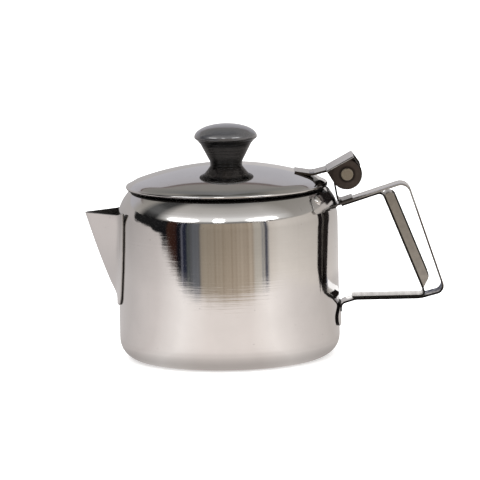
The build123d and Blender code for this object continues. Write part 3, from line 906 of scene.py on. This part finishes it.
dress("handle_grip", grip_steel, 0.2)
dress("hinge_bracket", bracket_steel, 0.2)
dress("hinge_hood", hood_steel, 0.2)
dress("hinge_pin", rivet, 0.0)
dress("lid_ring", satin, 0.15)
dress("knob_insert", brass, 0.1)
dress("knob_washer", zinc, 0.1)
dress("knob_screw", zinc, 0.1)


# ---------------------------------------------------------------- stage

def plain_mesh(name, verts, faces):
    mesh = bpy.data.meshes.new(name)
    mesh.from_pydata(verts, [], faces)
    obj = bpy.data.objects.new(name, mesh)
    scene.collection.objects.link(obj)
    return obj


FLOOR_HALF = 3.0
floor = plain_mesh("floor", [
    (-FLOOR_HALF, -FLOOR_HALF, 0), (FLOOR_HALF, -FLOOR_HALF, 0),
    (FLOOR_HALF, FLOOR_HALF, 0), (-FLOOR_HALF, FLOOR_HALF, 0),
], [(0, 1, 2, 3)])
floor_material, n, shader = new_material("floor_white")
paper = n.mix(n.noise(n.coordinates(), 3.0), (0.93, 0.93, 0.93), (0.95, 0.95, 0.95))
n.link(paper, shader.inputs["Base Color"])
shader.inputs["Roughness"].default_value = 0.9
shader.inputs["Specular IOR Level"].default_value = 0.1
shader.inputs["Emission Color"].default_value = (1, 1, 1, 1)
shader.inputs["Emission Strength"].default_value = 0.35
floor.data.materials.append(floor_material)
floor.visible_glossy = False

# What the steel mirrors: a pale table top and a low curtain of panels, seen by glossy rays only
SCREEN_R = 232.0
SCREEN_TOP = 134.0
screen_rings = [(1.0, 0.05), (SCREEN_R, 0.05), (SCREEN_R, SCREEN_TOP)]
screen_steps = 180
screen_turns = [2 * math.pi * i / screen_steps for i in range(screen_steps)]
screen_verts = [
    (r * MM * math.sin(turn), -r * MM * math.cos(turn), z * MM)
    for r, z in screen_rings for turn in screen_turns
]
screen_faces = [
    (k * screen_steps + i, k * screen_steps + (i + 1) % screen_steps,
     (k + 1) * screen_steps + (i + 1) % screen_steps, (k + 1) * screen_steps + i)
    for k in range(len(screen_rings) - 1) for i in range(screen_steps)
]
screen = plain_mesh("reflection_screen", screen_verts, screen_faces)


def azimuth_of(n, vector):
    """0 to 1 round Z, with 0.5 towards -Y and rising towards +X, and the vector's Z."""
    x, y, z = n.split(vector)
    turn = n.math("ARCTAN2", x, n.math("MULTIPLY", y, -1.0))
    return n.remap(turn, -math.pi, math.pi), z


def at(degrees):
    """Ramp position of an azimuth in degrees from -Y towards +X."""
    return (degrees + 180) / 360


screen_material, n = empty_material("reflection_screen")
turn, height = azimuth_of(n, n.coordinates())
left_panels = n.ramp(
    turn,
    (at(-180), (0.56, 0.545, 0.56)), (at(-113), (0.40, 0.385, 0.38)), (at(-106), (0.012, 0.012, 0.012)),
    (at(-60), (0.008, 0.008, 0.009)), (at(-58.5), (0.040, 0.017, 0.011)), (at(-50), (0.030, 0.012, 0.009)),
    (at(-48), (0.006, 0.006, 0.009)), (at(-44.5), (0.008, 0.009, 0.014)), (at(-44), (0.17, 0.17, 0.20)),
    (at(-43.3), (0.13, 0.13, 0.16)), (at(-42.8), (0.014, 0.017, 0.034)), (at(-39.4), (0.017, 0.020, 0.036)),
    (at(-38.6), (0.075, 0.082, 0.080)), (at(-36.8), (0.080, 0.086, 0.084)),
    (at(-36.2), (0.035, 0.038, 0.045)), (at(-35.4), (0.105, 0.110, 0.122)),
    (at(-26.5), (0.135, 0.138, 0.150)), (at(-25), (0.31, 0.265, 0.21)),
    (at(0), (0.345, 0.285, 0.22)),
)
right_panels = n.ramp(
    turn,
    (at(0), (0.345, 0.285, 0.22)), (at(23), (0.41, 0.345, 0.275)), (at(24.5), (0.46, 0.425, 0.375)),
    (at(31.9), (0.48, 0.445, 0.39)), (at(32.4), (0.20, 0.20, 0.21)), (at(33.0), (0.20, 0.20, 0.21)),
    (at(33.6), (0.45, 0.42, 0.38)), (at(34.7), (0.42, 0.40, 0.37)), (at(35.2), (0.035, 0.040, 0.062)),
    (at(36.9), (0.045, 0.05, 0.075)), (at(37.6), (0.24, 0.24, 0.25)), (at(38.7), (0.62, 0.565, 0.51)),
    (at(50), (0.70, 0.65, 0.60)), (at(95), (0.56, 0.515, 0.475)), (at(180), (0.56, 0.54, 0.54)),
)
panels = n.mix(n.math("GREATER_THAN", turn, at(0)), left_panels, right_panels)
table_top = n.ramp(
    turn,
    (at(-180), (0.62, 0.60, 0.60)), (at(-110), (0.62, 0.58, 0.57)), (at(-72), (0.78, 0.72, 0.70)),
    (at(-43), (1.08, 1.02, 0.99)), (at(-18), (0.96, 0.88, 0.84)), (at(18), (0.93, 0.85, 0.81)),
    (at(38), (1.08, 1.01, 0.97)), (at(67), (0.80, 0.74, 0.71)), (at(110), (0.62, 0.57, 0.54)),
    (at(180), (0.62, 0.60, 0.60)),
)
# The table is dimmer close round the pot
x, y, z = n.xyz()
near_pot = n.ramp(
    n.math("MULTIPLY", n.distance(x, y), 5.0), (0.24, 0.56), (0.30, 0.82), (0.45, 0.95), (0.6, 1.0))
table_top = n.mix(1.0, table_top, near_pot, "MULTIPLY")
# Everything upright grows dimmer with height
fade = n.ramp(n.math("MULTIPLY", height, 10.0), (0.06, 1.0), (0.34, 0.77), (0.7, 0.74), (1.0, 0.80))
table_top = n.mix(1.0, table_top, fade, "MULTIPLY")
# Thin upright seams in the panels
seams = n.add("ShaderNodeTexNoise", noise_dimensions="1D")
n.link(n.math("MULTIPLY", turn, 26.0), seams.inputs["W"])
seams.inputs["Detail"].default_value = 5.0
seams.inputs["Roughness"].default_value = 0.7
seamed = n.ramp(turn, (at(-41), 0.15), (at(-39), 1.0), (at(22), 1.0), (at(36), 0.35), (at(42), 0.1))
seam_tone = n.ramp(
    seams.outputs["Fac"],
    (0.36, (0.80, 0.77, 0.74)), (0.52, (1.0, 1.0, 1.0)), (0.64, (1.06, 1.065, 1.07)),
)
panels = n.mix(seamed, panels, n.mix(1.0, panels, seam_tone, "MULTIPLY"))
panels = n.mix(1.0, n.mix(1.0, panels, fade, "MULTIPLY"), (1.36, 1.36, 1.36), "MULTIPLY")
# The height, in tenths of a metre, where the panels begin: it climbs round to the left
edge = n.ramp(
    turn,
    (at(-112), 1.34), (at(-104), 0.90), (at(-80), 0.72), (at(-73), 0.44), (at(-64), 0.315),
    (at(-54), 0.21), (at(-43), 0.10), (at(-32), 0.066), (at(-21), 0.050), (at(0), 0.038),
    (at(21), 0.058), (at(32), 0.10), (at(50), 0.13), (at(90), 0.06), (at(180), 0.06),
)
ragged = n.noise(n.mapped(n.coordinates(), (0.7, 0.7, 14.0)), 45.0, 4.0, 0.7)
depth = n.ramp(turn, (at(-112), 1.0), (at(-70), 1.0), (at(-50), 0.35), (at(-30), 0.2), (at(180), 0.2))
ragged_by = n.math("MULTIPLY", n.remap(ragged, 0.3, 0.7, -0.10, 0.10), depth)
level = n.math("ADD", n.math("MULTIPLY", height, 10.0), ragged_by)
shown = n.remap(n.math("SUBTRACT", level, edge), -0.028, 0.028, smooth=True)
emission = n.add("ShaderNodeEmission")
n.link(n.mix(shown, table_top, panels), emission.inputs["Color"])
output = n.add("ShaderNodeOutputMaterial")
n.link(emission.outputs[0], output.inputs["Surface"])
screen.data.materials.append(screen_material)

# Flags, seen only in reflections: black ones beside the strap, over the lower arm and before
# the bracket, then a striped and a white one beyond the strap
BEYOND_STRAP_Y = 7.0
WHITE_FLAG_END_X = 88.5
flags = plain_mesh("reflection_flags", [[c * MM for c in corner] for corner in (
    (79.5, -14.0, 76.0), (79.5, -6.0, 76.0), (99.0, -6.0, 22.0), (97.0, -13.5, 35.0),
    (50.9, -7.5, 27.0), (62.0, -7.5, 27.6), (62.0, 7.5, 27.6), (50.9, 7.5, 27.0),
    (46.0, -8.2, 71.5), (58.0, -8.2, 74.5), (58.0, -8.2, 79.5), (46.0, -8.2, 79.5),
    (88.5, 9.5, 25.6), (99.5, 9.5, 28.2), (99.5, 9.5, 33.0), (88.5, 9.5, 29.4),
    (53.0, 9.5, 23.0), (88.5, 9.5, 25.6), (88.5, 9.5, 29.4), (56.0, 9.5, 29.2), (53.0, 9.5, 27.6),
)], [(0, 1, 2, 3), (4, 5, 6, 7), (8, 9, 10, 11), (12, 13, 14, 15), (16, 17, 18, 19, 20)])
flag_material, n = empty_material("reflection_flags")
emission = n.add("ShaderNodeEmission")
black = n.mix(n.noise(n.coordinates(), 120.0), (0.008, 0.006, 0.006), (0.014, 0.011, 0.010))
streaks = n.remap(n.noise(n.mapped(n.coordinates(), (0.25, 1, 1)), 900.0, 3.0, 0.7), 0.42, 0.58)
striped = n.mix(streaks, (0.03, 0.034, 0.06), (0.55, 0.55, 0.60))
x, y, z = n.xyz()
beyond_strap = n.math("GREATER_THAN", y, BEYOND_STRAP_Y * MM)
beyond_colour = n.mix(n.math("GREATER_THAN", x, WHITE_FLAG_END_X * MM), (1.2, 1.18, 1.17), striped)
n.link(n.mix(beyond_strap, black, beyond_colour), emission.inputs["Color"])
# The flag over the arm shows from above only, and those beyond the strap from the -Y side only
face = n.add("ShaderNodeNewGeometry")
upright = n.split(face.outputs["True Normal"])[2]
level_one = n.math("GREATER_THAN", n.math("ABSOLUTE", upright), 0.9)
clear = n.math("MULTIPLY", face.outputs["Backfacing"], n.math("MAXIMUM", level_one, beyond_strap))
mixed = n.add("ShaderNodeMixShader")
n.link(clear, mixed.inputs["Fac"])
n.link(emission.outputs[0], mixed.inputs[1])
n.link(n.add("ShaderNodeBsdfTransparent").outputs[0], mixed.inputs[2])
output = n.add("ShaderNodeOutputMaterial")
n.link(mixed.outputs[0], output.inputs["Surface"])
flags.data.materials.append(flag_material)
for hidden in (screen, flags):
    hidden.visible_camera = False
    hidden.visible_diffuse = False
    hidden.visible_shadow = False
    hidden.visible_transmission = False
    hidden.visible_volume_scatter = False

# World: white to the camera and for fill; to glossy rays a room with three bright window panes
WINDOW_GLOW = 4.0
world = bpy.data.worlds.new("studio")
scene.world = world
world.use_nodes = True
n = Nodes(world.node_tree)
n.tree.nodes.clear()
direction = n.add("ShaderNodeTexCoord").outputs["Generated"]
turn, rise = azimuth_of(n, direction)


def up(degrees):
    """Ramp position of an elevation in degrees above the level."""
    return math.sin(math.radians(degrees)) * 0.5 + 0.5


lift = n.remap(rise, -1.0, 1.0)
x, y, z = n.split(direction)
# The top of the back wall isn't level, and the front's bands sag to both sides
lean = n.ramp(
    n.remap(x, -0.5, 0.5), (0.1, 0.075), (0.3, 0.055), (0.44, 0.012), (0.52, 0.002), (0.8, 0.036))
back_lift = n.math("ADD", lift, lean)
arch_lift = n.math("ADD", lift, n.math("MULTIPLY", n.math("MULTIPLY", x, x), 0.037))
windows = n.ramp(
    turn, (at(-74), 0.0), (at(-66), 0.7), (at(-50), 1.0), (at(-36), 0.7), (at(-28), 0.0), (at(-16), 0.0),
    (at(-15), 1.1), (at(-4), 1.1), (at(-3), 0.0), (at(17), 0.0), (at(25), 0.7), (at(39), 1.0),
    (at(54), 0.7), (at(62), 0.0),
)
panes = n.ramp(
    arch_lift,
    (up(23.0), 0.0), (up(25.0), 0.8), (up(27.5), 1.0), (up(30.5), 0.8), (up(34.0), 0.0),
)
front = n.ramp(
    arch_lift,
    (up(10), (0.5, 0.45, 0.4)), (up(20), (0.26, 0.24, 0.22)), (up(23.5), (0.20, 0.19, 0.18)),
    (up(26), (0.95, 0.94, 0.93)), (up(33), (0.95, 0.94, 0.93)), (up(37), (0.70, 0.68, 0.67)),
    (up(46), (0.55, 0.53, 0.51)), (up(60), (0.44, 0.42, 0.40)), (up(71), (0.26, 0.25, 0.24)),
    (up(82), (0.12, 0.12, 0.12)),
)
side = n.ramp(
    lift,
    (up(0), (0.50, 0.475, 0.455)), (up(30), (0.36, 0.34, 0.315)), (up(60), (0.28, 0.265, 0.24)),
    (up(76), (0.12, 0.12, 0.11)),
)
dark = n.ramp(
    lift,
    (up(0), 0.006), (up(19), 0.010), (up(26), 0.06), (up(31), 0.12), (up(39), 0.12), (up(46), 0.06),
    (up(70), 0.03),
)
back = n.ramp(
    back_lift,
    (up(-5), (0.56, 0.55, 0.58)), (up(30), (0.50, 0.49, 0.52)), (up(38.6), (0.48, 0.46, 0.48)),
    (up(39.4), (0.16, 0.125, 0.12)), (up(40.6), (0.20, 0.165, 0.155)), (up(41.6), (0.29, 0.27, 0.255)),
    (up(60), (0.24, 0.235, 0.22)), (up(90), (0.20, 0.20, 0.20)),
)
ahead = n.ramp(turn, (at(-94), 0.0), (at(-62), 1.0), (at(50), 1.0), (at(80), 0.0))
behind = n.ramp(turn, (at(-136), 1.0), (at(-122), 0.0), (at(130), 0.0), (at(150), 1.0))
left = n.ramp(turn, (at(-116), 0.0), (at(-104), 1.0), (at(-86), 1.0), (at(-70), 0.0))
studio = n.mix(left, n.mix(behind, n.mix(ahead, side, front), back), dark)
glow = n.math("MULTIPLY", n.remap(n.math("ADD", windows, panes), 1.2, 1.75), WINDOW_GLOW)
studio = n.mix(1.0, studio, glow, "ADD")
rays = n.add("ShaderNodeLightPath")
background = n.add("ShaderNodeBackground")
n.link(n.mix(rays.outputs["Is Glossy Ray"], (1.3, 1.3, 1.3), studio), background.inputs["Color"])
output = n.add("ShaderNodeOutputWorld")
n.link(background.outputs[0], output.inputs["Surface"])


LAMP_TARGET = Vector((0, 0, 0.05))


def area_light(name, location, size, power):
    """A soft lamp aimed at the teapot that the steel doesn't mirror."""
    data = bpy.data.lights.new(name, "AREA")
    data.shape = "RECTANGLE"
    data.size = size[0]
    data.size_y = size[1]
    data.energy = power
    obj = bpy.data.objects.new(name, data)
    scene.collection.objects.link(obj)
    obj.location = location
    obj.rotation_euler = (LAMP_TARGET - Vector(location)).to_track_quat("-Z", "Y").to_euler()
    obj.visible_glossy = False


area_light("key", (-0.5, -0.6, 0.9), (0.8, 0.6), 2.5)
area_light("fill", (0.7, -0.5, 0.6), (0.8, 0.8), 2.0)
area_light("top", (0, 0.1, 1.1), (1.2, 1.2), 4.0)

# Camera: square on from -Y, spout to the left, looking a little down, with a slight roll
CAMERA_RISE = math.radians(8.15)
CAMERA_ROLL = math.radians(1.25)
CAMERA_AWAY = 1.829
CAMERA_ASIDE = 0.00436
CAMERA_UP = 0.0525
forward = Vector((0, math.cos(CAMERA_RISE), -math.sin(CAMERA_RISE)))
upward = Vector((0, math.sin(CAMERA_RISE), math.cos(CAMERA_RISE)))
across = Vector((1, 0, 0))
right = across * math.cos(CAMERA_ROLL) - upward * math.sin(CAMERA_ROLL)
top = across * math.sin(CAMERA_ROLL) + upward * math.cos(CAMERA_ROLL)
camera_data = bpy.data.cameras.new("camera")
camera_data.lens = 300
camera_data.sensor_width = 36
camera_data.clip_start = 0.05
camera_data.clip_end = 50
camera = bpy.data.objects.new("camera", camera_data)
scene.collection.objects.link(camera)
place_at = right * CAMERA_ASIDE + top * CAMERA_UP - forward * CAMERA_AWAY
camera.matrix_world = Matrix([
    (right[i], top[i], -forward[i], place_at[i]) for i in range(3)
] + [(0, 0, 0, 1)])
scene.camera = camera
scene.view_settings.view_transform = "Standard"
